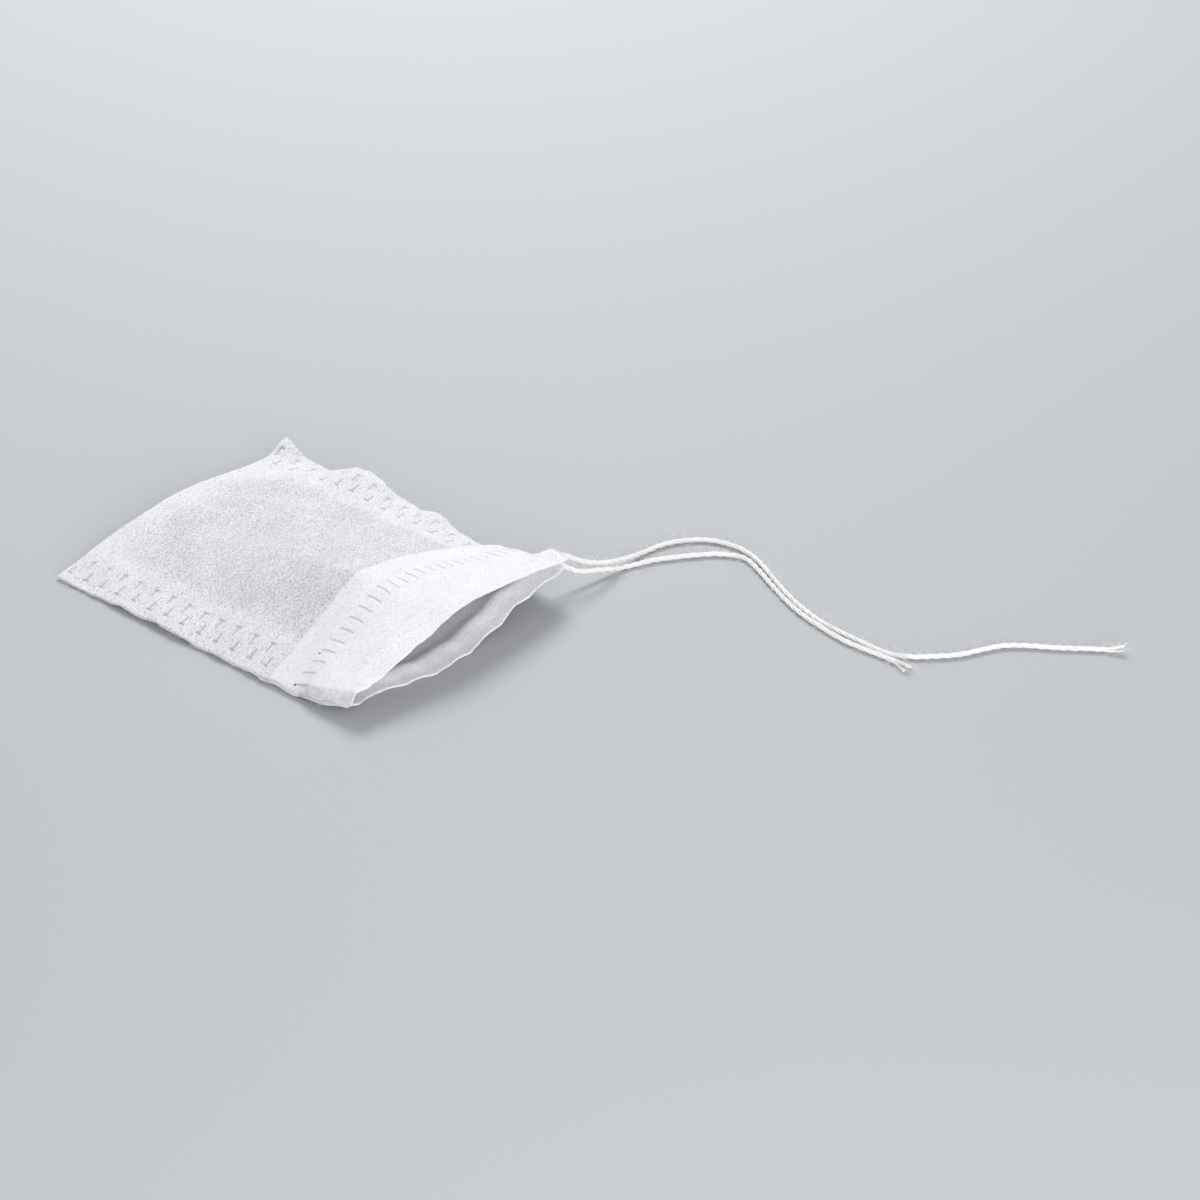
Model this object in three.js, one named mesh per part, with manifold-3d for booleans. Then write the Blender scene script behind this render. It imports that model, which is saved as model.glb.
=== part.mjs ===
// Empty tea filter bag with a drawstring, at rest on a table.
// One sheet is folded at the closed end, welded along both sides and turned in at the mouth as two hems.
// One string runs through both hems and leaves them at the same corner.
// Millimetres. X runs from the closed fold to the mouth, Y from the front side to the back, Z up.
import * as THREE from 'three';
import { mergeVertices } from 'three/addons/utils/BufferGeometryUtils.js';
import Module from 'manifold-3d';

// The sheet, cut and folded
const BAG_LENGTH = 70;
const BAG_WIDTH = 55;
const SHEET = 0.3;
const SIDE_SEAL = 6.2;
const HEM = 19;
const HEM_WELD = 11;

// The string and its tunnel in each hem
const STRING = 1.0;
const STRING_CLEARANCE = 0.5;
const TUNNEL_FROM_LIP = 7;
const TUNNEL_TO_LIP = 1.8;
const RETURN_POCKET = 6;

// Marks pressed by the weld: two rows of headed stems along each side, one row of dashes along each hem
const MARK_PITCH = 4;
const MARK_LENGTH = 2;
const MARK_HEAD = 1.2;
const MARK_WIDTH = 0.36;
const MARK_DEPTH = 0.1;
const OUTER_ROW = 1.8;
const INNER_ROW = 4.1;
const DASH_PITCH = 2.3;
const DASH_LENGTH = 2.8;

// The soft shape at rest: values at even steps from the closed fold to the mouth
const FRONT_SEAM_HEIGHT = [0.8, 0.8, 0.9, 1.0, 1.2, 1.5];
const BACK_SEAM_HEIGHT = [3.4, 2.6, 4.6, 3.4, 2.8, 5.2];
const UPPER_ARCH = [3.4, 3.2, 4.4, 6.6, 7.4, 2.6];
const LOWER_ARCH = [3.4, -5, -9, -9, -9, -9];
const CROWN_ACROSS = [0.5, 0.48, 0.42, 0.38, 0.38, 0.5];
const SEAL_TILT = 1.2;
const MOUTH_DRAWN_IN = 2.4;
const ARCH_FULLNESS = 1.4;

// Least height of a slit between two layers that touch
const SLIT = 0.12;
// Length over which a cut edge of the sheet steps to the layer beside it
const EDGE_STEP = 0.2;
// Blunt nose of the turned lip, ahead of the tunnel
const LIP_NOSE = 0.4;
// How far a cutting solid runs past the face it opens
const OVERRUN = 1.5;
const STRING_STEPS = 84;

// Free ends of the string, as offsets from the point where each leaves its hem
const LONG_END = [
  [2.4, 4.8, -1.6], [3.4, 9.3, -3.3], [3.2, 13.8, -4.7], [3.4, 18.8, -5.6], [4.2, 23.1, -5.95],
  [6, 26.5, -5.95], [8.5, 29.1, -5.95], [11.7, 30.5, -5.95], [15.8, 30.8, -5.95], [20.1, 29.6, -5.95],
  [25.7, 26.7, -5.95],
  [30.1, 24.4, -5.95], [34.4, 22.5, -5.95], [39.9, 20.8, -5.95], [44.1, 20.2, -5.95], [48.9, 19.9, -5.95],
  [53.3, 19.7, -5.95], [56.1, 20.1, -5.95], [58.4, 21.4, -5.95], [60.6, 23.3, -5.95], [64, 27, -5.95],
  [66.2, 31, -5.95], [68, 34.1, -5.95], [71.1, 36.8, -5.95], [75.2, 39.5, -5.95], [79.1, 42.5, -5.95],
  [81.8, 44.4, -5.95], [83.5, 46.2, -5.95],
];
const SHORT_END = [
  [2, 3.9, -0.7], [3.4, 7.8, -1.8], [5.2, 13, -2.9], [7, 17.2, -3.35], [8.9, 20.3, -3.35],
  [12.1, 24.4, -3.35], [14.5, 26.9, -3.35], [17.6, 28.6, -3.35], [19.8, 28.6, -3.35], [23.1, 27.2, -3.35],
  [28.4, 24.5, -3.35],
  [33.2, 22.2, -3.35], [37.7, 20.5, -3.35], [43.1, 19.2, -3.35], [48, 18.4, -3.35], [52, 18.4, -3.35],
  [55.8, 18.6, -3.35], [58.7, 18.6, -3.35], [61.1, 18.2, -3.35],
];

const { Manifold, Mesh } = await loadManifold();

const xFold = -BAG_LENGTH / 2;
const xLip = BAG_LENGTH / 2;
const xHemEdge = xLip - HEM;
const xHemWeld = xLip - HEM_WELD;
const xTunnelStart = xLip - TUNNEL_FROM_LIP;
const xTunnelEnd = xLip - TUNNEL_TO_LIP;
const seal = SIDE_SEAL / BAG_WIDTH;
const doubled = 2 * SHEET;
const tunnelHeight = STRING + 2 * STRING_CLEARANCE;

async function loadManifold() {
  const wasm = await Module();
  wasm.setup();
  return wasm;
}

// A smooth run through values that stand at even steps.
function run(values) {
  const curve = new THREE.SplineCurve(values.map((value, i) => new THREE.Vector2(i, value)));
  return (share) => curve.getPoint(THREE.MathUtils.clamp(share, 0, 1)).y;
}

const frontSeam = run(FRONT_SEAM_HEIGHT);
const backSeam = run(BACK_SEAM_HEIGHT);
const upperArch = run(UPPER_ARCH);
const lowerArch = run(LOWER_ARCH);
const crownAcross = run(CROWN_ACROSS);

const along = (x) => (x - xFold) / BAG_LENGTH;

// Side of the bag at x: the front is straight, the back is drawn in towards the mouth.
function acrossToY(x, v) {
  const drawnIn = MOUTH_DRAWN_IN * THREE.MathUtils.smoothstep(along(x), 0, 0.8);
  return THREE.MathUtils.lerp(-BAG_WIDTH / 2, BAG_WIDTH / 2 - drawnIn, v);
}

// Depth of one hem at x: two layers at the weld, opened by the tunnel, closing again at the lip.
function hemAt(x) {
  const opening = THREE.MathUtils.smoothstep(x, xHemWeld, xTunnelStart);
  const closing = 1 - THREE.MathUtils.smoothstep(x, xTunnelEnd, xLip);
  return doubled + tunnelHeight * Math.min(opening, closing);
}

// Thickness of one side of the bag at x: a single layer, or the hem.
const wallAt = (x) => (x < xHemEdge ? SHEET : hemAt(x));

// Least thickness of the whole bag: the layers of a side seal, opened by the tunnels behind the front seal.
function sealAt(x, v) {
  const hemmed = THREE.MathUtils.smoothstep(x, xHemEdge - SIDE_SEAL, xHemEdge);
  const opened = THREE.MathUtils.smoothstep(v, 0, seal);
  return doubled * (1 + hemmed) + 2 * (hemAt(x) - doubled) * opened;
}

// Height between the two layers: the seals tilt up to their inner edges.
function middle(x, v) {
  const front = frontSeam(along(x));
  const back = backSeam(along(x));
  const tilt = SEAL_TILT * Math.min(1, v / seal, (1 - v) / seal);
  return THREE.MathUtils.lerp(front, back, v) + tilt;
}

// Share of the arch at v, from zero at each seal to one at the crown.
function arch(x, v) {
  const inner = THREE.MathUtils.clamp((v - seal) / (1 - 2 * seal), 0, 1);
  const crown = crownAcross(along(x));
  const side = inner < crown ? inner / crown : (1 - inner) / (1 - crown);
  return Math.sin(side * Math.PI / 2) ** ARCH_FULLNESS;
}

const inside = (v) => THREE.MathUtils.clamp(v, 0, 1);

// Outer face of the upper side.
function upperFace(x, v) {
  const w = inside(v);
  return middle(x, w) + sealAt(x, w) / 2 + upperArch(along(x)) * arch(x, w);
}

// Outer face of the lower side, flat where it meets the table.
function lowerFace(x, v) {
  const w = inside(v);
  return Math.max(0, middle(x, w) - sealAt(x, w) / 2 + lowerArch(along(x)) * arch(x, w));
}

function even(from, to, steps) {
  return Array.from({ length: steps + 1 }, (_, i) => THREE.MathUtils.lerp(from, to, i / steps));
}

// Grid lines shared by the outer body and everything cut from it, so that all walls keep their thickness.
const bodyLines = even(xFold, xHemEdge - EDGE_STEP, Math.round((BAG_LENGTH - HEM) / MARK_PITCH));
const lengthLines = [
  ...bodyLines,
  xHemEdge,
  ...even(xHemWeld, xTunnelStart, 2),
  ...even(xTunnelStart, xTunnelEnd, 4).slice(1),
  xLip - LIP_NOSE,
  xLip,
];
const betweenRows = (OUTER_ROW + MARK_LENGTH + INNER_ROW) / 2 / BAG_WIDTH;
const dashes = Math.round((BAG_WIDTH - 2 * SIDE_SEAL) / DASH_PITCH);
const acrossLines = [0, betweenRows, ...even(seal, 1 - seal, dashes), 1 - betweenRows, 1];

const between = (lines, low, high) => lines.filter((value) => value >= low - 1e-6 && value <= high + 1e-6);

// Closed body between two faces, over the grid lines given; widths scales each line across about its middle.
function slab(xs, vs, topFace, bottomFace, widths = vs.map(() => 1)) {
  const geometry = new THREE.BoxGeometry(1, 1, 1, xs.length - 1, vs.length - 1, 1);
  const position = geometry.attributes.position;
  const centre = (xs[0] + xs[xs.length - 1]) / 2;
  for (let i = 0; i < position.count; i += 1) {
    const row = Math.round((position.getY(i) + 0.5) * (vs.length - 1));
    const column = Math.round((position.getX(i) + 0.5) * (xs.length - 1));
    const x = THREE.MathUtils.lerp(centre, xs[column], widths[row]);
    const onBag = Math.min(x, xLip);
    const face = position.getZ(i) > 0 ? topFace : bottomFace;
    position.setXYZ(i, x, acrossToY(onBag, vs[row]), face(onBag, vs[row]));
  }
  return solid(geometry);
}

function solid(geometry) {
  const bare = geometry.clone();
  bare.deleteAttribute('normal');
  bare.deleteAttribute('uv');
  const joined = mergeVertices(bare, 1e-4);
  return new Manifold(new Mesh({
    numProp: 3,
    vertProperties: new Float32Array(joined.attributes.position.array),
    triVerts: new Uint32Array(joined.index.array),
  }));
}

function surface(body) {
  const mesh = body.getMesh();
  const geometry = new THREE.BufferGeometry();
  geometry.setAttribute('position', new THREE.BufferAttribute(new Float32Array(mesh.vertProperties), 3));
  geometry.setIndex(new THREE.BufferAttribute(new Uint32Array(mesh.triVerts), 1));
  geometry.computeVertexNormals();
  return geometry;
}

// Two faces held at least a slit apart about the height between them.
function parted(topFace, bottomFace) {
  const centre = (x, v) => (topFace(x, v) + bottomFace(x, v)) / 2;
  return [
    (x, v) => Math.max(topFace(x, v), centre(x, v) + SLIT / 2),
    (x, v) => Math.min(bottomFace(x, v), centre(x, v) - SLIT / 2),
  ];
}

// Room for the tea between the two sides, open at the mouth.
function pocket() {
  const xs = [...between(lengthLines, xFold + 3, xLip), xLip + OVERRUN];
  const vs = between(acrossLines, seal, 1 - seal);
  const faces = parted(
    (x, v) => upperFace(x, v) - wallAt(x),
    (x, v) => lowerFace(x, v) + wallAt(x),
  );
  return slab(xs, vs, ...faces);
}

const tunnelLines = between(lengthLines, xHemWeld, xLip - LIP_NOSE);
const passageLines = between(lengthLines, xTunnelStart, xTunnelEnd);
const underUpperSheet = (x, v) => upperFace(x, v) - SHEET;
const overUpperTurnIn = (x, v) => upperFace(x, v) - hemAt(x) + SHEET;
const underLowerTurnIn = (x, v) => lowerFace(x, v) + hemAt(x) - SHEET;
const overLowerSheet = (x, v) => lowerFace(x, v) + SHEET;

// Tunnel of one hem between the side seals, with its way out through the back seal.
function tunnel(topFace, bottomFace) {
  const faces = parted(topFace, bottomFace);
  const insideHem = slab(tunnelLines, between(acrossLines, seal, 1 - seal), ...faces);
  const backEnd = [...between(acrossLines, 1 - 2 * seal, 1), 1 + OVERRUN / BAG_WIDTH];
  return insideHem.add(slab(passageLines, backEnd, ...faces));
}

// Space at the front corner where the string turns from the upper hem into the lower one.
function returnPocket() {
  const vs = between(acrossLines, seal, seal + RETURN_POCKET / BAG_WIDTH);
  return slab(passageLines, vs, underUpperSheet, overLowerSheet);
}

// One mark pressed into both outer faces: lines gives its places across the bag and its width at each.
function pressed(x, lines) {
  const sorted = [...lines].sort((a, b) => a.v - b.v);
  const vs = sorted.map((line) => line.v);
  const widths = sorted.map((line) => line.width);
  const cut = (topFace, bottomFace) => slab([x - 0.5, x + 0.5], vs, topFace, bottomFace, widths);
  return [
    cut((a, v) => upperFace(a, v) + OVERRUN, (a, v) => upperFace(a, v) - MARK_DEPTH),
    cut((a, v) => lowerFace(a, v) + MARK_DEPTH, (a, v) => lowerFace(a, v) - OVERRUN),
  ];
}

// A row of stems along one side, one to each step of the body, each flared to a head at its far end.
function sideRow(edgeToV, tip, head, share) {
  const neck = THREE.MathUtils.lerp(tip, head, 0.6);
  const lines = [
    { v: edgeToV(tip), width: MARK_WIDTH },
    { v: edgeToV(neck), width: MARK_WIDTH },
    { v: edgeToV(head), width: MARK_HEAD },
  ];
  return bodyLines.slice(1).flatMap((x, i) => pressed(THREE.MathUtils.lerp(bodyLines[i], x, share), lines));
}

// The marks of both side seals, and one dash to each step across the hems.
function weldMarks() {
  const fromFront = (distance) => distance / BAG_WIDTH;
  const fromBack = (distance) => 1 - distance / BAG_WIDTH;
  const rows = [fromFront, fromBack].flatMap((edgeToV) => [
    ...sideRow(edgeToV, OUTER_ROW + MARK_LENGTH, OUTER_ROW, 0.25),
    ...sideRow(edgeToV, INNER_ROW, INNER_ROW + MARK_LENGTH, 0.75),
  ]);
  const half = MARK_WIDTH / 2 / BAG_WIDTH;
  const hemRow = acrossLines.slice(1).flatMap((v, i) => {
    const centre = (acrossLines[i] + v) / 2;
    return pressed(xHemWeld - DASH_LENGTH / 2 - MARK_WIDTH, [
      { v: centre - half, width: DASH_LENGTH },
      { v: centre + half, width: DASH_LENGTH },
    ]);
  });
  return Manifold.union([...rows, ...hemRow]);
}

function filterBag() {
  return slab(lengthLines, acrossLines, upperFace, lowerFace)
    .subtract(pocket())
    .subtract(tunnel(underUpperSheet, overUpperTurnIn))
    .subtract(tunnel(underLowerTurnIn, overLowerSheet))
    .subtract(returnPocket())
    .subtract(weldMarks());
}

// Centre line of the tunnel in one hem.
function tunnelCentre(topFace, bottomFace) {
  return (x, v) => new THREE.Vector3(x, acrossToY(x, v), (topFace(x, v) + bottomFace(x, v)) / 2);
}

function freeEnd(exit, offsets) {
  return offsets.map(([dx, dy, dz]) => {
    const point = exit.clone().add(new THREE.Vector3(dx, dy, dz));
    point.z = Math.max(point.z, STRING * 0.6);
    return point;
  });
}

// The string: its long end, the upper hem, the turn at the front corner, the lower hem, its short end.
function drawstring() {
  const upper = tunnelCentre(underUpperSheet, overUpperTurnIn);
  const lower = tunnelCentre(underLowerTurnIn, overLowerSheet);
  const xUpper = xTunnelEnd - STRING;
  const xLower = xTunnelStart + STRING;
  const across = even(0.95, 0.2, 10);
  const upperExit = upper(xUpper, 1);
  const lowerExit = lower(xUpper - STRING, 1);
  const turn = upper(xUpper, 0.2).lerp(lower(xLower, 0.2), 0.5);
  turn.y = acrossToY(xUpper, seal) + STRING;
  const route = [
    ...freeEnd(upperExit, LONG_END).reverse(),
    upperExit,
    ...across.map((v) => upper(xUpper, v)),
    turn,
    ...across.reverse().map((v) => lower(THREE.MathUtils.lerp(xLower, xUpper - STRING, v), v)),
    lowerExit,
    ...freeEnd(lowerExit, SHORT_END),
  ];
  const circle = new THREE.Path().absarc(0, 0, STRING / 2, 0, 2 * Math.PI);
  return new THREE.ExtrudeGeometry(new THREE.Shape(circle.getSpacedPoints(8).slice(0, 8)), {
    steps: STRING_STEPS,
    extrudePath: new THREE.CatmullRomCurve3(route, false, 'centripetal'),
  });
}

const matt = (color) => new THREE.MeshStandardMaterial({ color, roughness: 0.9 });

function piece(name, geometry, material) {
  const mesh = new THREE.Mesh(geometry, material);
  mesh.name = name;
  return mesh;
}

const part = new THREE.Group();
part.name = 'tea_filter_bag';
part.add(
  piece('filter_bag', surface(filterBag()), matt(0xf0f1f0)),
  piece('drawstring', drawstring(), matt(0xf1eee4)),
);

export default part;
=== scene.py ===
import logging
import math
import random
from dataclasses import dataclass
from enum import Enum

import bmesh
import bpy
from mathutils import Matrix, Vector, noise


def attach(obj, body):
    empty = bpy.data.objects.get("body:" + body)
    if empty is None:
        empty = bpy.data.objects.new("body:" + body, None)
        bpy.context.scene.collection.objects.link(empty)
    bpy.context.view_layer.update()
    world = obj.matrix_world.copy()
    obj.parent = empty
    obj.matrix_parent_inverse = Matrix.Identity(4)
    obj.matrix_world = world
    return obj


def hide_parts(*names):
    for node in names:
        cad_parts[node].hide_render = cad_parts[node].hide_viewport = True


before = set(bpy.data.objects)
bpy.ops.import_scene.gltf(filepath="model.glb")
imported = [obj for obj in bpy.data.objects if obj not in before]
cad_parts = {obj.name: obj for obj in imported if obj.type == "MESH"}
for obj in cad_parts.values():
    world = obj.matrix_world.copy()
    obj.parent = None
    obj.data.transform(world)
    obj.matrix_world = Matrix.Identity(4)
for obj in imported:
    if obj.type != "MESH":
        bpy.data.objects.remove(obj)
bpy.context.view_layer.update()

LOG = logging.getLogger("tea_filter_bag")
MM = 0.001
BODY = "root"
Triple = tuple[float, float, float]
Pair = tuple[float, float]


def clamp(value: float, low: float = 0.0, high: float = 1.0) -> float:
    """Holds a value between two limits."""
    return min(max(value, low), high)


def ease(share: float) -> float:
    """Smooth step from 0 to 1."""
    t = clamp(share)
    return t * t * (3.0 - 2.0 * t)


def mix(a: float, b: float, share: float) -> float:
    """Straight blend from a to b."""
    return a + (b - a) * share


def bell(off: float, reach: float) -> float:
    """Bell curve: 1 at the middle, falling away over the reach."""
    return math.exp(-(off / reach) ** 2)


def quarter(inward: float) -> float:
    """Quarter round: 1 at 0, falling to 0 at 1."""
    return math.sqrt(max(0.0, 1.0 - inward * inward))


def run(values: tuple[float, ...] | list[float], share: float) -> float:
    """Smooth run through values that stand at even steps.

    Args:
        values: The values, first to last.
        share: Place along the run, 0 to 1.

    Returns:
        The value at that place.
    """
    last = len(values) - 1
    place = clamp(share) * last
    i = min(int(place), last - 1)
    f = place - i
    b, c = values[i], values[i + 1]
    a = values[i - 1] if i > 0 else 2 * b - c
    d = values[i + 2] if i + 2 <= last else 2 * c - b
    square = (2 * a - 5 * b + 4 * c - d) * f * f
    cube = (3 * b - a - 3 * c + d) * f ** 3
    return 0.5 * (2 * b + (c - a) * f + square + cube)


def put(name: str, data: bpy.types.ID) -> bpy.types.Object:
    """Adds an object to the scene.

    Args:
        name: Name of the object.
        data: Its mesh, curve, lamp or camera.

    Returns:
        The new object.
    """
    item = bpy.data.objects.new(name, data)
    bpy.context.scene.collection.objects.link(item)
    return item


def aim(item: bpy.types.Object, place: Vector, back: Vector) -> None:
    """Sets a lamp or a camera at a place.

    Args:
        item: The lamp or the camera.
        place: Where it stands, in metres.
        back: Direction from what it looks at towards it.
    """
    item.location = place
    item.rotation_mode = "QUATERNION"
    item.rotation_quaternion = (-back).to_track_quat("-Z", "Y")


@dataclass(frozen=True)
class Rise:
    """A smooth step from 0 to 1: where it starts, and over how far."""

    start: float
    over: float

    def at(self, place: float) -> float:
        """Share of the step at a place."""
        return ease((place - self.start) / self.over)


@dataclass(frozen=True)
class Swell:
    """A bell-shaped swell: its height, the place of its top and its reach."""

    height: float
    top: float
    reach: float

    def at(self, place: float) -> float:
        """Height of the swell at a place."""
        return self.height * bell(place - self.top, self.reach)


@dataclass(frozen=True)
class Waves:
    """Smooth random waves of one size, from their own plane of the noise."""

    height: float
    scale: float
    plane: float

    def line(self, along: float, seed: float) -> float:
        """Height of the waves along a line that has its own seed."""
        return self.height * noise.noise(Vector((along * self.scale, seed, self.plane)))

    def area(self, x: float, y: float) -> float:
        """Height of the waves at a place of a surface."""
        return self.line(x, y * self.scale)


class Layer(Enum):
    """The four plies that the one sheet makes, in the order the strip runs through them."""

    UPPER_TURN_IN = "upper turn-in"
    UPPER = "upper side"
    LOWER = "lower side"
    LOWER_TURN_IN = "lower turn-in"


@dataclass(frozen=True)
class NonwovenFinish:
    """White filter sheet: a thin web of fibres, denser where plies lie on each other, with painted shade in its
    gaps where the two sides part.
    """

    fibre: Triple = (0.92, 0.91, 0.94)
    # Gap: dark seen through the web's gaps, painted shade of the space behind the sheet, deepest where the two
    # sides part
    gap: Triple = (0.18, 0.18, 0.21)
    fused: Triple = (0.30, 0.31, 0.34)
    hole: Triple = (0.06, 0.06, 0.07)
    roughness: float = 0.85
    specular: float = 0.25
    sheen: float = 0.12
    glow: float = 0.7
    glow_depth: float = 0.5
    # How much other plies close the web and lift the painted shade of its gaps, and how strongly clouds and gaps
    # show in it
    backed: float = 0.6
    clouds: float = 0.3
    gaps: float = 1.3
    # Weld marks: how strong they are, how unevenly they took, and how much smoother they are
    mark_strength: float = 0.72
    dash_strength: float = 0.8
    uneven_scale: float = 0.3
    uneven_edge: Pair = (0.05, 0.5)
    pressed_gloss: float = 0.3
    # Relief of the fibres, the gaps and the marks
    fibre_relief: float = 0.35
    gap_relief: float = -0.5
    mark_relief: float = 1.2
    bump: float = 0.55
    bump_depth: float = 0.08


@dataclass(frozen=True)
class CottonFinish:
    """Undyed cotton of the drawstring, with painted shade between its fibres."""

    light: Triple = (0.94, 0.93, 0.92)
    # Dark: painted shade in the gaps between the fibres, mixed with cloudy tone that differs at random
    dark: Triple = (0.70, 0.68, 0.67)
    roughness: float = 0.9
    specular: float = 0.2
    sheen: float = 0.25
    grain: float = 2.2
    # How strongly the painted shade of the gaps and the random cloudy tone show
    gaps: float = 0.6
    clouds: float = 0.25
    bump: float = 0.5
    bump_depth: float = 0.05


@dataclass(frozen=True)
class FloorFinish:
    """Plain pale table top."""

    colour: Triple = (0.42, 0.43, 0.45)
    roughness: float = 0.7
    specular: float = 0.2


class Graph:
    """Short way to write the nodes of a material or a node group."""

    def __init__(self, tree: bpy.types.NodeTree) -> None:
        """Keeps the tree that nodes are added to."""
        self.tree = tree

    def add(self, kind: str, **settings: object) -> bpy.types.Node:
        """Adds a node and sets its properties.

        Args:
            kind: Node type, without the ShaderNode prefix unless it is a group node.
            settings: Properties of the node.

        Returns:
            The new node.
        """
        node = self.tree.nodes.new(kind if kind.startswith("NodeGroup") else "ShaderNode" + kind)
        for name, value in settings.items():
            setattr(node, name, value)
        return node

    def feed(self, socket: bpy.types.NodeSocket, value: object) -> None:
        """Links a socket to another, or sets its plain value.

        Args:
            socket: The input.
            value: An output, or a plain value.
        """
        if isinstance(value, bpy.types.NodeSocket):
            self.tree.links.new(value, socket)
        else:
            socket.default_value = value

    def fill(self, node: bpy.types.Node, values: dict[str, object]) -> None:
        """Feeds several inputs of a node, given by name."""
        for name, value in values.items():
            self.feed(node.inputs[name], value)

    def math(self, operation: str, *values: object, clamped: bool = False) -> bpy.types.NodeSocket:
        """Adds a Math node.

        Args:
            operation: What it does.
            values: Its inputs.
            clamped: Whether the result is held between 0 and 1.

        Returns:
            Its output.
        """
        node = self.add("Math", operation=operation, use_clamp=clamped)
        for socket, value in zip(node.inputs, values):
            self.feed(socket, value)
        return node.outputs[0]

    def most(self, values: list[bpy.types.NodeSocket]) -> bpy.types.NodeSocket:
        """Takes the largest of several values.

        Args:
            values: The values, at least one.

        Returns:
            The largest.
        """
        total = values[0]
        for value in values[1:]:
            total = self.math("MAXIMUM", total, value)
        return total

    def fade(self, value: object, low: float, high: float) -> bpy.types.NodeSocket:
        """Smooth step of a value.

        Args:
            value: The value.
            low: Where the step is 0.
            high: Where it is 1.

        Returns:
            The step.
        """
        node = self.add("MapRange", interpolation_type="SMOOTHSTEP")
        for socket, given in zip(node.inputs, (value, low, high)):
            self.feed(socket, given)
        return node.outputs[0]

    def band(self, value: object, low: float, high: float, soft: float) -> bpy.types.NodeSocket:
        """Mask of the values between two limits.

        Args:
            value: The value.
            low: Lower limit.
            high: Upper limit.
            soft: Width over which the mask falls to 0 outside each limit.

        Returns:
            The mask.
        """
        rise = self.fade(value, low - soft, low)
        fall = self.fade(value, high + soft, high)
        return self.math("MULTIPLY", rise, fall)

    def noise(self, vector: object, scale: float, detail: float) -> bpy.types.NodeSocket:
        """Adds a Noise texture.

        Args:
            vector: Place in the texture.
            scale: Its scale.
            detail: Its detail.

        Returns:
            The value of the noise.
        """
        node = self.add("TexNoise")
        self.fill(node, {"Vector": vector, "Scale": scale, "Detail": detail})
        return node.outputs[0]

    def blend(self, share: object, a: object, b: object) -> bpy.types.NodeSocket:
        """Mixes two colours.

        Args:
            share: How much of the second.
            a: First colour.
            b: Second colour.

        Returns:
            The mixed colour.
        """
        node = self.add("Mix", data_type="RGBA")
        self.feed(node.inputs[0], share)
        self.feed(node.inputs[6], (*a, 1.0) if isinstance(a, tuple) else a)
        self.feed(node.inputs[7], (*b, 1.0) if isinstance(b, tuple) else b)
        return node.outputs[2]

    def bump(self, height: object, strength: float, depth: float) -> bpy.types.NodeSocket:
        """Adds a Bump node.

        Args:
            height: Relief.
            strength: How strongly it shows.
            depth: Depth of the relief in millimetres.

        Returns:
            The normal.
        """
        node = self.add("Bump")
        self.fill(node, {"Strength": strength, "Distance": depth * MM, "Height": height})
        return node.outputs[0]


def new_material(name: str) -> tuple[bpy.types.Material, Graph, bpy.types.Node]:
    """Makes a material.

    Args:
        name: Its name.

    Returns:
        The material, its nodes and its shader.
    """
    material = bpy.data.materials.new(name)
    material.use_nodes = True
    return material, Graph(material.node_tree), material.node_tree.nodes["Principled BSDF"]


@dataclass(frozen=True)
class FibreWeb:
    """Node group: a tangle of fine fibres with small gaps between them."""

    name: str = "fibre_web"
    # Fibres: the directions they lie in, the shift and the stretch of each, and their soft edge
    turns: tuple[float, ...] = (0.2, 0.85, 1.5, 2.1, 2.75)
    shift: Pair = (3.1, 7.7)
    stretch: float = 5.2
    middle: float = 0.5
    line_edge: Pair = (0.045, 0.012)
    # Gaps: the specks that open them, and how much the fibres cover them
    speck_scale: float = 3.0
    speck_detail: float = 3.0
    speck_edge: Pair = (0.36, 0.62)
    least_gap: float = 0.25
    cover: float = 0.85
    cloud_scale: float = 0.16
    cloud_detail: float = 3.0

    def build(self) -> bpy.types.NodeTree:
        """Makes the group once and returns it.

        Returns:
            The node group, with the mask of fibres, the mask of gaps and the cloudiness of the web.
        """
        known = bpy.data.node_groups.get(self.name)
        if known:
            return known
        tree = bpy.data.node_groups.new(self.name, "ShaderNodeTree")
        tree.interface.new_socket("Vector", in_out="INPUT", socket_type="NodeSocketVector")
        for name in ("Fibres", "Gaps", "Clouds"):
            tree.interface.new_socket(name, in_out="OUTPUT", socket_type="NodeSocketFloat")
        graph = Graph(tree)
        source = graph.add("NodeGroupInput").outputs[0]
        lines = graph.most([self.fibres(graph, source, i) for i in range(len(self.turns))])
        clouds = graph.noise(source, self.cloud_scale, self.cloud_detail)
        graph.fill(graph.add("NodeGroupOutput"),
                   {"Fibres": lines, "Gaps": self.gaps(graph, source, lines), "Clouds": clouds})
        return tree

    def fibres(self, graph: Graph, source: object, i: int) -> bpy.types.NodeSocket:
        """Makes the fibres that lie in one direction.

        Args:
            graph: Nodes of the group.
            source: Place in the web.
            i: Number of the direction.

        Returns:
            Their mask.
        """
        place = graph.add("Mapping")
        graph.fill(place, {
            "Vector": source,
            "Location": (self.shift[0] * i, self.shift[1] * i, 0.0),
            "Rotation": (0.0, 0.0, self.turns[i]),
            "Scale": (1.0, self.stretch, 1.0),
        })
        streak = graph.noise(place.outputs[0], 1.0, 1.0)
        off = graph.math("ABSOLUTE", graph.math("SUBTRACT", streak, self.middle))
        return graph.fade(off, *self.line_edge)

    def gaps(self, graph: Graph, source: object, lines: object) -> bpy.types.NodeSocket:
        """Makes the gaps between the fibres.

        Args:
            graph: Nodes of the group.
            source: Place in the web.
            lines: Mask of the fibres.

        Returns:
            Their mask.
        """
        speck = graph.fade(graph.noise(source, self.speck_scale, self.speck_detail), *self.speck_edge)
        bare = graph.math("SUBTRACT", 1.0, graph.math("MULTIPLY", lines, self.cover))
        wide = graph.math("ADD", self.least_gap, graph.math("MULTIPLY", speck, 1.0 - self.least_gap))
        return graph.math("MULTIPLY", bare, wide)


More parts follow.
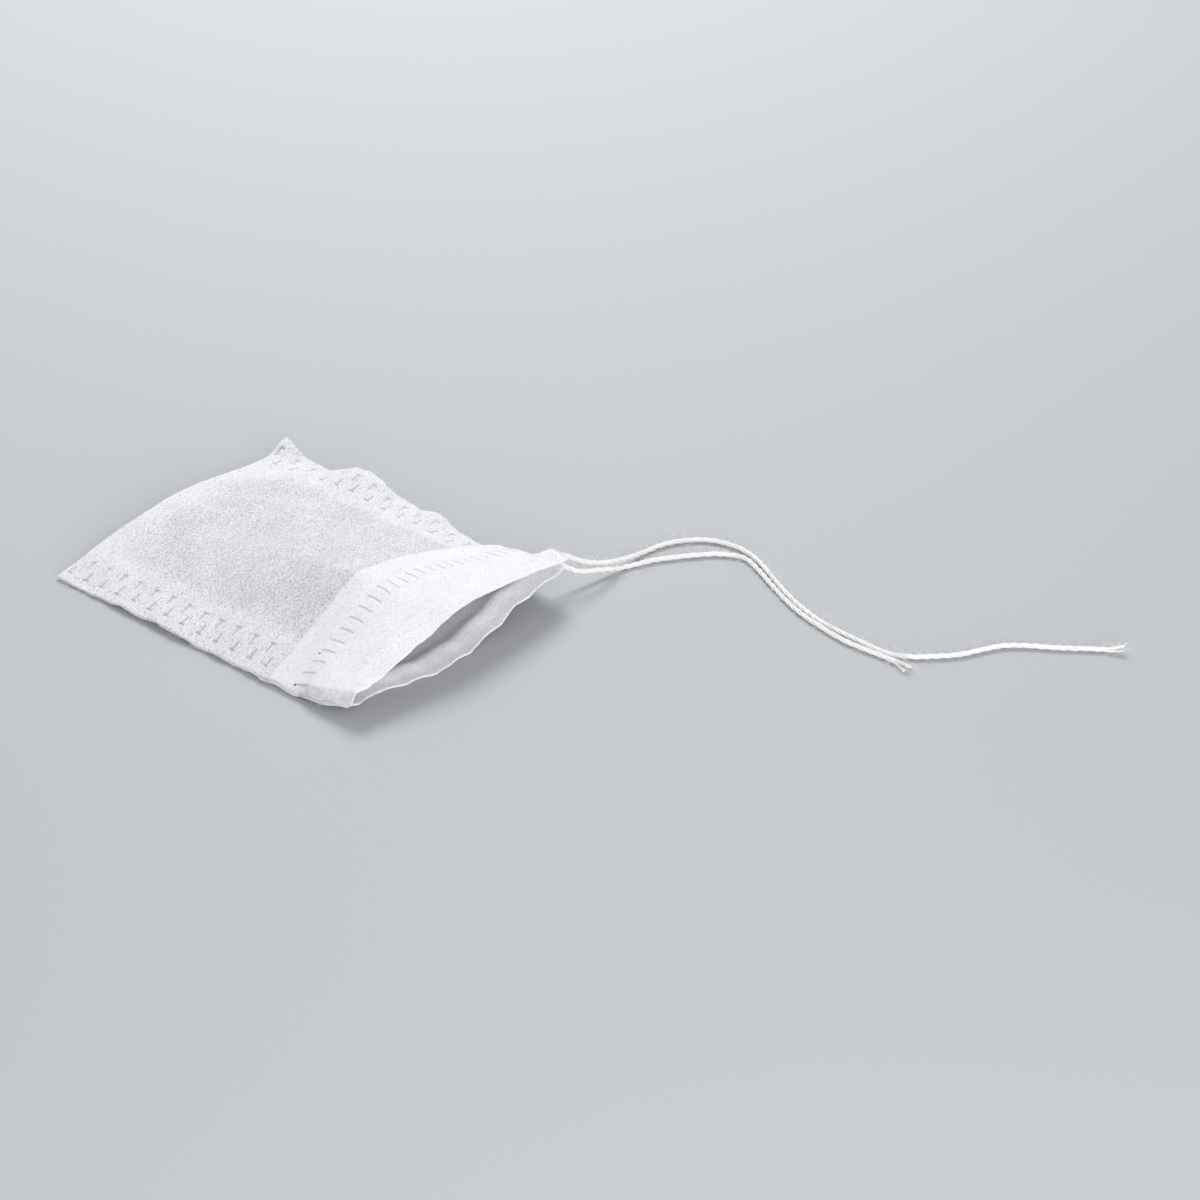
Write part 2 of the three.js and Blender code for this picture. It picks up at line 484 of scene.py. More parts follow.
@dataclass
class BagForm:
    """Soft shape of the bag at rest.

    Lengths are in millimetres. Steps and swells along the bag start at its closed fold, and those across it are
    shares of the width from the front edge.
    """

    length: float = 70.0
    width: float = 55.0
    ply: float = 0.18
    hem: float = 19.0
    seal: float = 6.2
    string_from_lip: float = 3.8
    string: float = 1.0
    fold_radius: float = 0.3
    table_clearance: float = 0.02
    # The mouth is drawn in at the back, and its front corner is rounded
    drawn_in: float = 2.4
    drawn_along: Rise = Rise(0.0, 0.8)
    corner_round: float = 1.1
    corner_along: Rise = Rise(62.0, 8.0)
    corner_across: Rise = Rise(0.0, 0.06)
    # Heights of the upper side across the bag, at even steps from the closed fold to the mouth
    crown: tuple[tuple[float, ...], ...] = (
        (0.5, 2.4, 3.9, 4.8, 4.3, 3.2, 2.6),
        (0.9, 3.2, 4.9, 5.6, 5.4, 4.6, 4.6),
        (0.9, 4.2, 7.4, 8.2, 7.0, 5.2, 3.8),
        (0.9, 5.1, 9.7, 10.7, 8.9, 6.1, 3.1),
        (0.9, 6.0, 8.1, 9.9, 9.5, 8.7, 7.4),
    )
    # Heights of the two side edges, at even steps along the bag, and how far in they hold
    front_edge: tuple[float, ...] = (
        0.5, 0.3, 0.5, 0.9, 0.9, 1.2, 0.9, 0.6, 0.7, 0.6, 1.0, 0.8, 0.9, 1.5, 2.6)
    back_edge: tuple[float, ...] = (
        2.8, 2.6, 2.3, 4.0, 5.9, 5.4, 4.0, 3.8, 4.4, 2.9, 2.5, 4.0, 4.7, 6.4, 7.2)
    front_fade: Rise = Rise(0.0, 0.13)
    back_fade: Rise = Rise(0.0, 0.16)
    # The lower lip across the bag: how far it stands back from the upper lip, and its height
    lip_setback: tuple[float, ...] = (1.0, 3.4, 1.7, 0.1, 0.1, 0.6, 0.5, 0.7, 1.0)
    lip_height: tuple[float, ...] = (1.8, 0.1, 0.1, 0.1, 0.15, 0.9, 3.4, 4.4, 4.9)
    setback_along: Rise = Rise(48.0, 22.0)
    lip_along: Rise = Rise(50.0, 17.0)
    # The lower side is tied to the upper one at the seals and the fold, and comes free at the mouth
    mouth_along: Rise = Rise(56.0, 6.0)
    fold_bond: Rise = Rise(0.0, 15.0)
    front_bond: float = 0.14
    back_bond: float = 0.17
    seal_gap: float = 0.22
    hem_seal_gap: float = 0.5
    hem_lead: float = 3.5
    hem_lead_over: float = 3.0
    # Local shapes of the upper side: the curled back corner, the shoulder at the front of the hem, the step of the
    # hem's edge, the crest of the hem, the hollow near the fold, and the pucker where the string leaves
    corner_curl: Swell = Swell(2.2, 0.0, 3.0)
    shoulder: float = 1.6
    shoulder_rise: Rise = Rise(0.0, 0.022)
    shoulder_fall: Rise = Rise(0.022, 0.2)
    shoulder_along: Rise = Rise(55.0, 6.0)
    hem_step: float = 0.16
    hem_step_over: float = 0.5
    crest_across: Swell = Swell(1.0, 0.4, 0.055)
    crest_along: Swell = Swell(1.0, 50.0, 11.0)
    hollow_across: Swell = Swell(1.0, 0.5, 0.11)
    hollow_along: Swell = Swell(1.0, 21.0, 6.5)
    pucker_across: Rise = Rise(0.88, 0.1)
    pucker_top: Swell = Swell(0.8, 66.4, 1.7)
    pucker_dip: Swell = Swell(0.5, 62.2, 1.5)
    # Ridge that the string lifts, and the gap that it opens between the plies of a hem
    ridge_height: float = 0.75
    ridge_reach: float = 1.0
    ridge_rise: Rise = Rise(0.06, 0.08)
    ridge_fall: Rise = Rise(0.38, 0.2)
    ridge_lost: float = 0.75
    hem_closed: float = 0.24
    hem_open: Rise = Rise(0.0, 0.06)
    tunnel_share: float = 0.95
    tunnel_reach: float = 1.7
    hem_loose: float = 0.4
    loose_from_lip: float = 15.0
    loose_over: float = 4.0
    loose_fade: float = 0.1
    # Random unevenness: wrinkles, ripples of the side edges, waver of the cut edges, scallops of the lower lip
    wrinkle_broad: Waves = Waves(0.22, 0.11, 2.0)
    wrinkle_fine: Waves = Waves(0.09, 0.33, 7.0)
    calm_across: Rise = Rise(0.0, 0.05)
    edge_wrinkle: float = 0.4
    ripple_height: float = 0.12
    ripple_across: Rise = Rise(0.0, 0.09)
    ripple_turn: float = 0.85
    ripple_shift: Waves = Waves(2.5, 0.2, 3.0)
    cut_waver: float = 0.3
    waver_slow: Waves = Waves(1.0, 0.35, 0.0)
    waver_quick: Waves = Waves(0.4, 1.1, 5.0)
    front_seed: float = 4.2
    back_seed: float = 9.6
    lip_seed: float = 2.7
    lip_waver_scale: float = 40.0
    lip_waver_along: Rise = Rise(60.0, 10.0)
    scallop: float = 0.28
    scallop_turn: float = 44.0
    scallop_shift: Waves = Waves(3.0, 7.0, 0.0)
    scallop_seed: float = 1.0
    scallop_across: Rise = Rise(0.0, 0.1)
    # Weld marks: pitch along the sides, and for each row its shift, and the tip and the head of its stems from the
    # edge
    mark_pitch: float = 4.0
    mark_rows: tuple[Triple, ...] = ((1.0, 3.8, 1.85), (3.0, 4.1, 6.05))
    mark_head: float = 0.3
    marks_from_fold: float = 0.7
    marks_from_hem: float = 1.6
    dashes: int = 24
    dash_from_lip: Pair = (10.8, 13.6)
    dash_bow: float = 0.06
    # Relief of the marks: its depth, and the half width and the slope of heads, stems and dashes
    press_depth: float = 0.06
    press_margin: float = 0.1
    press_slope: float = 0.32
    head_zone: float = 0.4
    head_half: float = 0.55
    stem_half: float = 0.12
    dash_half: float = 0.1
    dash_slope: float = 0.36
    # Holes that the weld pierced: distance from the front edge and from the upper lip
    pinholes: tuple[Pair, ...] = ((1.0, 13.3), (7.2, 13.4))
    # How white the sheet looks where its two sides lie close, fading into painted shade of the pocket as they
    # part, and the run at the hem's edge
    close_backing: float = 0.62
    shade_as_sides_part: Rise = Rise(0.0, 2.5)
    backing_over: float = 0.4

    @property
    def table(self) -> float:
        """Height of the middle of a ply that lies on the table."""
        return self.ply / 2 + self.table_clearance

    @property
    def strip_length(self) -> float:
        """Length of the flat strip that the bag is folded from."""
        return 2 * (self.length + self.hem)

    @property
    def seal_share(self) -> float:
        """Width of a side seal as a share of the bag's width."""
        return self.seal / self.width

    @property
    def marked(self) -> Pair:
        """Stretch of the side seals that has weld marks, from the closed fold."""
        return self.marks_from_fold, self.length - self.hem - self.marks_from_hem

    def past_hem(self, x: float, over: float, lead: float = 0.0) -> float:
        """Smooth step at the hem's edge, over a run that can start ahead of it."""
        return ease((x - self.length + self.hem + lead) / over)

    def side(self, x: float, v: float) -> float:
        """Place across the bag, with the slight waver of the cut edges.

        Args:
            x: Distance from the closed fold.
            v: Share of the width, from the front edge to the back.

        Returns:
            Distance from the straight line of the front edge.
        """
        front = self.waver(x, self.front_seed) + self.corner_round * self.corner_along.at(x)
        back = self.width - self.drawn_in * self.drawn_along.at(x / self.length)
        return mix(front, back + self.waver(x, self.back_seed), v)

    def waver(self, along: float, seed: float) -> float:
        """Uneven line of a cut or folded edge."""
        return self.cut_waver * (self.waver_slow.line(along, seed) + self.waver_quick.line(along, seed))

    def ridge(self, x: float, v: float) -> float:
        """Lift of the upper ply over the string, strongest towards the front."""
        along = self.ridge_rise.at(v) * (1.0 - self.ridge_lost * self.ridge_fall.at(v))
        return self.ridge_height * bell(self.length - x - self.string_from_lip, self.ridge_reach) * along

    def wrinkle(self, x: float, v: float) -> float:
        """Small random waviness of the soft sheet."""
        y = v * self.width
        return self.wrinkle_broad.area(x, y) + self.wrinkle_fine.area(x, y)

    def ripple(self, x: float, v: float) -> float:
        """Small waves of the side edges."""
        near = 1.0 - min(self.ripple_across.at(v), self.ripple_across.at(1.0 - v))
        return self.ripple_height * near * math.sin(x * self.ripple_turn + self.ripple_shift.line(x, round(v)))

    def press(self, x: float, v: float) -> float:
        """Depth of the weld marks at a point of an outer ply.

        Args:
            x: Distance from the closed fold.
            v: Share of the width, from the front edge to the back.

        Returns:
            The depth.
        """
        edge = min(v, 1.0 - v) * self.width
        lip = self.length - x
        depth = 0.0
        if self.marked[0] < x < self.marked[1]:
            half = self.mark_pitch / 2
            for shift, tip, head in self.mark_rows:
                off = abs((x - shift + half) % self.mark_pitch - half)
                if min(tip, head) - self.press_margin <= edge <= max(tip, head) + self.press_margin:
                    reach = self.head_half if abs(edge - head) < self.head_zone else self.stem_half
                    depth = max(depth, 1.0 - ease((off - reach) / self.press_slope))
        low, high = self.dash_from_lip
        if low <= lip <= high:
            pitch = self.width / self.dashes
            bow = self.dash_bow * (lip - (low + high) / 2) ** 2
            off = abs((v * self.width + bow) % pitch - pitch / 2)
            depth = max(depth, 1.0 - ease((off - self.dash_half) / self.dash_slope))
        return depth * self.press_depth

    def upper(self, x: float, v: float) -> float:
        """Height of the outer ply of the upper side.

        Args:
            x: Distance from the closed fold.
            v: Share of the width, from the front edge to the back.

        Returns:
            Height of the middle of the ply above the table.
        """
        u = x / self.length
        front, back = ([row[k] for row in self.crown] for k in (0, -1))
        height = run([run(row, v) for row in self.crown], u)
        height += (run(self.front_edge, u) - run(front, u)) * (1.0 - self.front_fade.at(v))
        height += (run(self.back_edge, u) - run(back, u)) * (1.0 - self.back_fade.at(1.0 - v))
        height += self.corner_curl.at(math.hypot(x, (1.0 - v) * self.width))
        shoulder = self.shoulder * self.shoulder_rise.at(v) * (1.0 - self.shoulder_fall.at(v))
        height += shoulder * self.shoulder_along.at(x)
        height += self.hem_step * self.past_hem(x, self.hem_step_over)
        height += self.crest_across.at(v) * self.crest_along.at(x)
        height -= self.hollow_along.at(x) * self.hollow_across.at(v)
        height += self.pucker_across.at(v) * (self.pucker_top.at(x) - self.pucker_dip.at(x))
        height += self.ridge(x, v)
        calm = self.calm_across.at(v) * self.calm_across.at(1.0 - v)
        height += self.wrinkle(x, v) * mix(self.edge_wrinkle, 1.0, calm) + self.ripple(x, v)
        return max(height, self.table + 2 * self.ply)

    def hem_gap(self, x: float, v: float) -> float:
        """Distance between the two plies of one hem, opened by the string.

        Args:
            x: Distance from the closed fold.
            v: Share of the width, from the front edge to the back.

        Returns:
            The distance, before it closes round the lip.
        """
        tunnel = self.string * self.tunnel_share
        tunnel *= bell(self.length - x - self.string_from_lip, self.tunnel_reach)
        loose = self.hem_loose * ease((self.length - self.loose_from_lip - x) / self.loose_over)
        for inside in (v, 1.0 - v):
            loose *= ease((inside - self.seal_share) / self.loose_fade)
        return self.hem_closed + (tunnel + loose) * self.hem_open.at(v)

    def nose(self, x: float) -> float:
        """Share of the hem's gap left at x: it closes round the lip."""
        return quarter(clamp((x - self.length + self.fold_radius) / self.fold_radius))

    def fold_gap(self, x: float) -> float:
        """Distance between the two sides at a seal, closing round the closed fold."""
        gap = self.seal_gap + self.hem_seal_gap * self.past_hem(x, self.hem_lead_over, self.hem_lead)
        return gap * quarter(clamp((self.fold_radius - x) / self.fold_radius))

    def lower(self, x: float, v: float) -> float:
        """Height of the outer ply of the lower side: on the table, drawn up at the seals and the fold.

        Args:
            x: Distance from the closed fold.
            v: Share of the width, from the front edge to the back.

        Returns:
            Height of the middle of the ply above the table.
        """
        tied = self.upper(x, v) - self.fold_gap(x)
        if x <= self.fold_radius:
            return tied
        front = 1.0 - ease((v - self.seal_share) / self.front_bond)
        back = 1.0 - ease((1.0 - v - self.seal_share) / self.back_bond)
        sides = (1.0 - (1.0 - front) * (1.0 - back)) * (1.0 - self.mouth_along.at(x))
        fold = 1.0 - self.fold_bond.at(x)
        bond = 1.0 - (1.0 - sides) * (1.0 - fold)
        free = self.table + run(self.lip_height, v) * self.lip_along.at(x)
        return max(mix(free, tied, bond), self.table)

    def setback(self, x: float, v: float) -> float:
        """How far a point of the lower side stands back, with the scallops of its lip.

        Args:
            x: Distance from the closed fold.
            v: Share of the width, from the front edge to the back.

        Returns:
            The distance.
        """
        turn = v * self.scallop_turn + self.scallop_shift.line(v, self.scallop_seed)
        wave = self.scallop * math.sin(turn) * self.scallop_across.at(v)
        return (run(self.lip_setback, v) + wave) * self.setback_along.at(x)

    def point(self, layer: Layer, x: float, v: float) -> Vector:
        """Place of a point of the sheet in the part's frame.

        Args:
            layer: The ply it is on.
            x: Distance from the closed fold.
            v: Share of the width, from the front edge to the back.

        Returns:
            The place, in metres.
        """
        gap = self.hem_gap(x, v)
        closed = gap * (1.0 - self.nose(x)) / 2
        lip = self.lip_waver_along.at(x)
        place = x - self.corner_round * (1.0 - self.corner_across.at(v)) * lip
        place += self.waver(v * self.lip_waver_scale, self.lip_seed) * lip
        if layer is Layer.UPPER:
            height = self.upper(x, v) - closed - self.press(x, v)
        elif layer is Layer.UPPER_TURN_IN:
            height = self.upper(x, v) - gap + closed
        elif layer is Layer.LOWER:
            height = self.lower(x, v) + closed + self.press(x, v)
        else:
            height = self.lower(x, v) + gap - closed
        if layer in (Layer.LOWER, Layer.LOWER_TURN_IN):
            place -= self.setback(x, v)
        return Vector((place - self.length / 2, self.side(x, v) - self.width / 2, height)) * MM

    def backing_and_shade(self, layer: Layer, x: float, v: float) -> float:
        """How much white lies close behind a point, less painted shade: other plies make the sheet look denser,
        and where its two sides part it is painted darker, as shade inside the pocket.

        Args:
            layer: The ply it is on.
            x: Distance from the closed fold.
            v: Share of the width, from the front edge to the back.

        Returns:
            Whiteness from close plies, lowered by painted shade where the sides part, 0 to 1.
        """
        if layer in (Layer.UPPER_TURN_IN, Layer.LOWER_TURN_IN):
            return 1.0
        # Painted shade: the sheet is made darker as its two sides part, standing for the shade inside the pocket
        # seen through it
        apart = self.upper(x, v) - self.lower(x, v)
        close = self.close_backing * (1.0 - self.shade_as_sides_part.at(apart))
        return max(self.past_hem(x, self.backing_over), close)


@dataclass
class FilterBag:
    """The folded and welded sheet, with the loose fibres on its cut edges."""

    form: BagForm
    finish: NonwovenFinish
    # Mesh: steps along the turn-ins, steps to a pitch of the marks on each side, and steps to a dash
    hidden_step: float = 1.2
    seen_step: float = 0.6
    fine_steps: int = 10
    coarse_steps: int = 5
    dash_steps: int = 6
    fold_angles: tuple[int, ...] = (0, 30, 60, 90)
    # Soft edges of the marks in the material
    marked_soft: float = 0.1
    stem_soft: float = 0.06
    stem_edge: Pair = (0.2, 0.09)
    head_soft: float = 0.08
    head_edge: Pair = (0.66, 0.5)
    dash_soft: float = 0.12
    dash_edge: Pair = (0.24, 0.1)
    hole_edge: Pair = (0.26, 0.14)
    # Loose fibres: how many, how far from the ends of an edge, and how they stand out and curl
    fibre_count: int = 900
    fibre_seed: int = 41
    fibre_margin: float = 1.0
    fibre_lean: float = 0.8
    fibre_tilt: Pair = (-0.3, 0.7)
    fibre_curl: float = 0.5
    fibre_curl_tilt: Pair = (-0.6, 0.8)
    fibre_reach: Pair = (0.3, 1.2)
    fibre_root: float = 0.2
    fibre_bend: float = 0.6
    fibre_finish: CottonFinish = CottonFinish(light=(0.84, 0.845, 0.85), dark=(0.70, 0.71, 0.72))

    @staticmethod
    def steps(low: float, high: float, size: float) -> list[float]:
        """Even steps between two places, without the last place.

        Args:
            low: First place.
            high: Last place.
            size: About how long a step is.

        Returns:
            The places.
        """
        count = max(1, round(abs(high - low) / size))
        return [mix(low, high, i / count) for i in range(count)]

    def rows(self) -> list[tuple[Layer, float, float]]:
        """Rows of the strip, from the edge of the upper turn-in round to the edge of the lower one.

        Returns:
            For each row its ply, its distance from the closed fold, and its place along the flat strip.
        """
        form = self.form
        start, end, nose = form.length - form.hem, form.length, form.fold_radius
        bends = [nose * math.sin(math.radians(angle)) for angle in self.fold_angles]
        lip = [end - nose + bend for bend in bends]
        fold = [nose - bend for bend in bends]
        fine, coarse = form.mark_pitch / self.fine_steps, form.mark_pitch / self.coarse_steps
        whole = int((end - nose) / fine)
        half = whole * self.coarse_steps // self.fine_steps
        turn_in = self.steps(start, end - nose, self.hidden_step) + lip
        turn_seen = self.steps(start, end - nose, self.seen_step) + lip
        upper = lip[::-1][1:] + [k * fine for k in range(whole, 0, -1)] + fold[1:]
        lower = fold[::-1][1:] + [k * coarse for k in range(1, half + 1)] + lip
        plan = [(Layer.UPPER_TURN_IN, x, x - start) for x in turn_in]
        plan += [(Layer.UPPER, x, form.hem + end - x) for x in upper]
        plan += [(Layer.LOWER, x, form.hem + end + x) for x in lower]
        plan += [(Layer.LOWER_TURN_IN, x, form.strip_length - (x - start)) for x in turn_seen[::-1][1:]]
        return plan

    def columns(self) -> list[float]:
        """Shares across the bag, in step with the dashes of the hem weld."""
        count = self.dash_steps * self.form.dashes
        return [i / count for i in range(count + 1)]

    def build(self) -> bpy.types.Object:
        """Bends the flat strip into the bag.

        Returns:
            The sheet, with its thickness as a modifier.
        """
        rows, columns = self.rows(), self.columns()
        down, across = len(rows) - 1, len(columns) - 1
        bm = bmesh.new()
        bmesh.ops.create_grid(bm, x_segments=across, y_segments=down, size=0.5)
        uv = bm.loops.layers.uv.new("strip")
        backing_and_shade = bm.verts.layers.float.new("backing_and_shade")
        spots: dict[int, Pair] = {}
        for vert in bm.verts:
            v = columns[round((vert.co.x + 0.5) * across)]
            layer, x, strip = rows[round((vert.co.y + 0.5) * down)]
            spots[vert.index] = (v, strip / self.form.strip_length)
            # Real density of close plies, and painted shade where the sides part, kept on each vertex
            vert[backing_and_shade] = self.form.backing_and_shade(layer, x, v)
            vert.co = self.form.point(layer, x, v)
        for face in bm.faces:
            face.smooth = True
            for loop in face.loops:
                loop[uv].uv = spots[loop.vert.index]
        bm.normal_update()
        highest = max(bm.faces, key=lambda face: face.calc_center_median().z)
        if highest.normal.z < 0:
            bmesh.ops.reverse_faces(bm, faces=bm.faces[:])
        mesh = bpy.data.meshes.new("filter_bag_sheet")
        bm.to_mesh(mesh)
        bm.free()
        sheet = put("filter_bag_sheet", mesh)
        thick = sheet.modifiers.new("ply", "SOLIDIFY")
        thick.thickness = self.form.ply * MM
        thick.offset = 0.0
        mesh.materials.append(self.dress())
        return sheet

    def side_marks(self, graph: Graph, across: object, out: object) -> bpy.types.NodeSocket:
        """Marks that the welds pressed along the sides.

        Args:
            graph: Nodes of the material.
            across: Distance across the strip.
            out: Distance along the strip from the closed fold.

        Returns:
            Their mask.
        """
        form = self.form
        edge = graph.math("MINIMUM", across, graph.math("SUBTRACT", form.width, across))
        half = form.mark_pitch / 2
        shapes = []
        for shift, tip, head in form.mark_rows:
            turn = graph.math("FLOORED_MODULO", graph.math("ADD", out, half - shift), form.mark_pitch)
            cell = graph.math("ABSOLUTE", graph.math("SUBTRACT", turn, half))
            neck = head - form.mark_head if head > tip else head + form.mark_head
            stem = graph.band(edge, min(tip, head), max(tip, head), self.stem_soft)
            bar = graph.band(edge, min(head, neck), max(head, neck), self.head_soft)
            shapes.append(graph.math("MULTIPLY", stem, graph.fade(cell, *self.stem_edge)))
            shapes.append(graph.math("MULTIPLY", bar, graph.fade(cell, *self.head_edge)))
        body = graph.band(out, *form.marked, self.marked_soft)
        return graph.math("MULTIPLY", graph.most(shapes), body)

    def hem_dashes(self, graph: Graph, across: object, out: object) -> bpy.types.NodeSocket:
        """Dashes that the weld pressed along the hems.

        Args:
            graph: Nodes of the material.
            across: Distance across the strip.
            out: Distance along the strip from the closed fold.

        Returns:
            Their mask.
        """
        form = self.form
        low, high = form.dash_from_lip
        pitch = form.width / form.dashes
        lip = graph.math("ABSOLUTE", graph.math("SUBTRACT", out, form.length))
        off = graph.math("SUBTRACT", lip, (low + high) / 2)
        bow = graph.math("MULTIPLY", graph.math("MULTIPLY", off, off), form.dash_bow)
        turn = graph.math("FLOORED_MODULO", graph.math("ADD", across, bow), pitch)
        dash = graph.math("ABSOLUTE", graph.math("SUBTRACT", turn, pitch / 2))
        along = graph.band(lip, low, high, self.dash_soft)
        return graph.math("MULTIPLY", along, graph.fade(dash, *self.dash_edge))

    def pierced(self, graph: Graph, place: object) -> bpy.types.NodeSocket:
        """Holes that the hem weld pierced, as dark spots.

        Args:
            graph: Nodes of the material.
            place: Place on the flat strip.

        Returns:
            Their mask.
        """
        holes = []
        for across, from_lip in self.form.pinholes:
            far = graph.add("VectorMath", operation="DISTANCE")
            graph.feed(far.inputs[0], place)
            graph.feed(far.inputs[1], (across, self.form.hem + from_lip, 0.0))
            holes.append(graph.fade(far.outputs["Value"], *self.hole_edge))
        return graph.most(holes)

    def dress(self) -> bpy.types.Material:
        """Makes the material of the sheet.

        Returns:
            The material.
        """
        form, finish = self.form, self.finish
        material, graph, shader = new_material("welded_nonwoven")
        size = graph.add("VectorMath", operation="MULTIPLY")
        graph.feed(size.inputs[0], graph.add("UVMap", uv_map="strip").outputs[0])
        graph.feed(size.inputs[1], (form.width, form.strip_length, 1.0))
        place = size.outputs[0]
        parts = graph.add("SeparateXYZ")
        graph.feed(parts.inputs[0], place)
        across = parts.outputs[0]
        out = graph.math("ABSOLUTE", graph.math("SUBTRACT", parts.outputs[1], form.strip_length / 2))
        dashes = graph.math("MULTIPLY", self.hem_dashes(graph, across, out), finish.dash_strength)
        pressed = graph.math("MAXIMUM", self.side_marks(graph, across, out), dashes)

        web = graph.add("Group", node_tree=FibreWeb().build())
        graph.feed(web.inputs["Vector"], place)
        backing_and_shade = graph.add("Attribute", attribute_name="backing_and_shade").outputs["Fac"]
        # Painted shade: the gaps darken where no other ply lies close, as shade inside the pocket seen through the
        # web
        open_web_shade = graph.math("SUBTRACT", 1.0, graph.math("MULTIPLY", backing_and_shade, finish.backed))
        cloud = graph.math("MULTIPLY", web.outputs["Clouds"], finish.clouds)
        gaps = graph.math("MULTIPLY", web.outputs["Gaps"], finish.gaps)
        thin = graph.math("MULTIPLY", graph.math("ADD", cloud, gaps), open_web_shade, clamped=True)
        uneven = graph.fade(graph.noise(place, finish.uneven_scale, 1.0), *finish.uneven_edge)
        worn = graph.math("MULTIPLY", uneven, finish.mark_strength)
        colour = graph.blend(thin, finish.fibre, finish.gap)
        colour = graph.blend(graph.math("MULTIPLY", pressed, worn), colour, finish.fused)
        colour = graph.blend(self.pierced(graph, place), colour, finish.hole)

        raised = graph.math("MULTIPLY", web.outputs["Fibres"], finish.fibre_relief)
        sunk = graph.math("MULTIPLY", web.outputs["Gaps"], finish.gap_relief)
        marks = graph.math("MULTIPLY", pressed, finish.mark_relief)
        relief = graph.math("SUBTRACT", graph.math("ADD", raised, sunk), marks)
        smoother = graph.math("MULTIPLY", pressed, finish.pressed_gloss)
        graph.fill(shader, {
            "Base Color": colour,
            "Roughness": graph.math("SUBTRACT", finish.roughness, smoother),
            "Specular IOR Level": finish.specular,
            "Sheen Weight": finish.sheen,
            "Subsurface Weight": finish.glow,
            "Subsurface Radius": (1.0, 1.0, 1.0),
            "Subsurface Scale": finish.glow_depth * MM,
            "Normal": graph.bump(relief, finish.bump, finish.bump_depth),
        })
        return material

    def loose_fibres(self) -> bpy.types.Object:
        """Fine fibres that stand out of the cut edges.

        Returns:
            All of them as one mesh.
        """
        form = self.form
        dice = random.Random(self.fibre_seed)
        lean = self.fibre_lean
        hairs = []
        for _ in range(self.fibre_count):
            x = dice.uniform(self.fibre_margin, form.length - self.fibre_margin)
            v = 0.0 if dice.random() < 0.5 else 1.0
            away = -1.0 if v == 0.0 else 1.0
            out = Vector((dice.uniform(-lean, lean), away, dice.uniform(*self.fibre_tilt))).normalized()
            curl = Vector((dice.uniform(-1, 1), dice.uniform(-1, 1), dice.uniform(*self.fibre_curl_tilt)))
            curl = curl * self.fibre_curl
            reach = dice.uniform(*self.fibre_reach) * MM
            root = form.point(Layer.UPPER, x, v) - out * self.fibre_root * MM
            hairs.append([root, root + out * reach * self.fibre_bend, root + (out + curl) * reach])
        material = Thread.dress("nonwoven_fibres", self.fibre_finish)
        return Thread.hairs("filter_bag_fibres", hairs, material)


